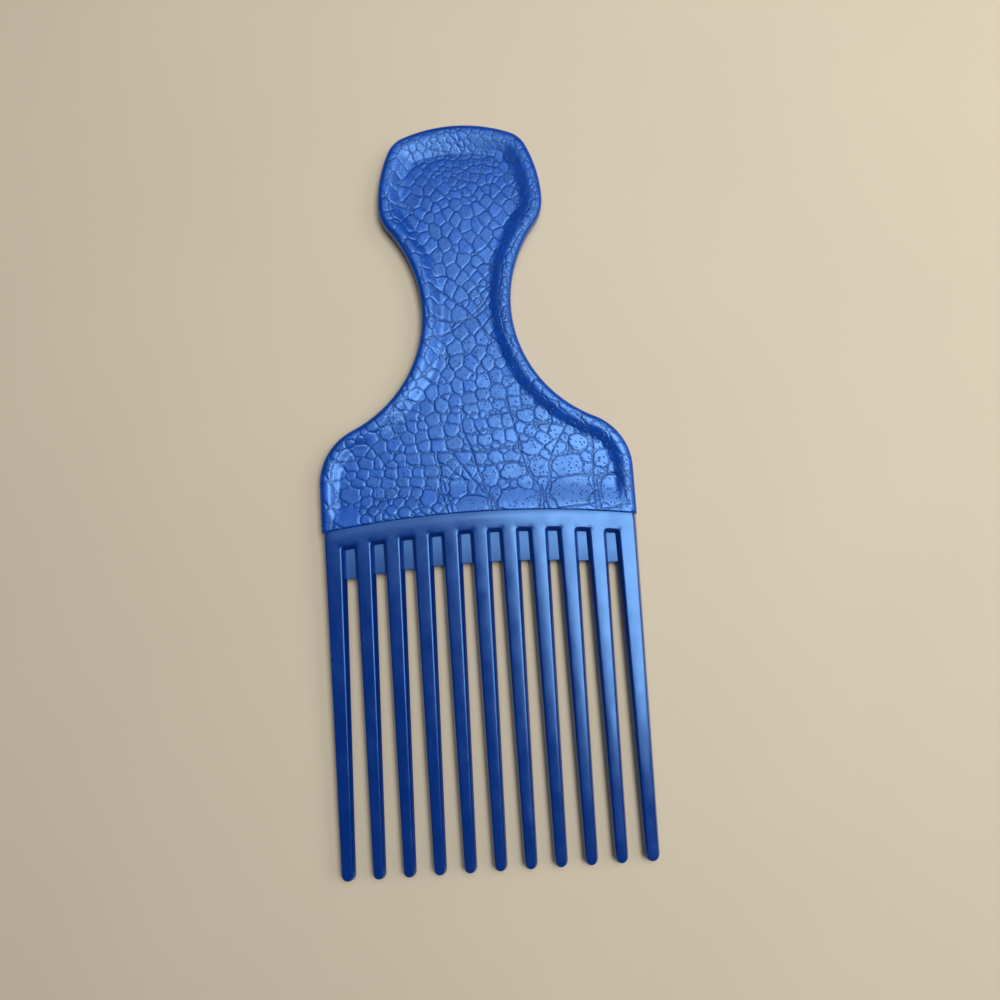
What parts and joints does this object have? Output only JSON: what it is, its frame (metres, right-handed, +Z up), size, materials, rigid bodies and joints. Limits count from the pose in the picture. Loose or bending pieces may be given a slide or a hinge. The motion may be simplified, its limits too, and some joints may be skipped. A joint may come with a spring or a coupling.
{
  "type": "afro pick",
  "caption": "Flat wide-tooth hair pick in blue plastic: a waisted, reptile-grained handle with a raised rim, and a smooth comb head with long tapered teeth.",
  "frame": {"origin": "centre of the bounding box at its lowest level, on the surface that the pick lies on", "axes": "+Y along the pick from the tips of the teeth to the crown of the handle, +X across it to the right of the face that shows, +Z up through its thickness"},
  "size_m": [0.074, 0.1774, 0.0044],
  "materials": {
    "grained_plastic": "semi-gloss royal blue moulding with a raised reptile grain",
    "smooth_plastic": "smooth semi-gloss royal blue moulding"
  },
  "bodies": {
    "root": {"handle_rim": "grained_plastic", "handle_blade": "grained_plastic", "comb_bar": "smooth_plastic", "tooth_01": "smooth_plastic", "tooth_02": "smooth_plastic", "tooth_03": "smooth_plastic", "tooth_04": "smooth_plastic", "tooth_05": "smooth_plastic", "tooth_06": "smooth_plastic", "tooth_07": "smooth_plastic", "tooth_08": "smooth_plastic", "tooth_09": "smooth_plastic", "tooth_10": "smooth_plastic", "tooth_11": "smooth_plastic", "root_web_01": "smooth_plastic", "root_web_02": "smooth_plastic", "root_web_03": "smooth_plastic", "root_web_04": "smooth_plastic", "root_web_05": "smooth_plastic", "root_web_06": "smooth_plastic", "root_web_07": "smooth_plastic", "root_web_08": "smooth_plastic", "root_web_09": "smooth_plastic", "root_web_10": "smooth_plastic"}
  },
  "joints": []
}
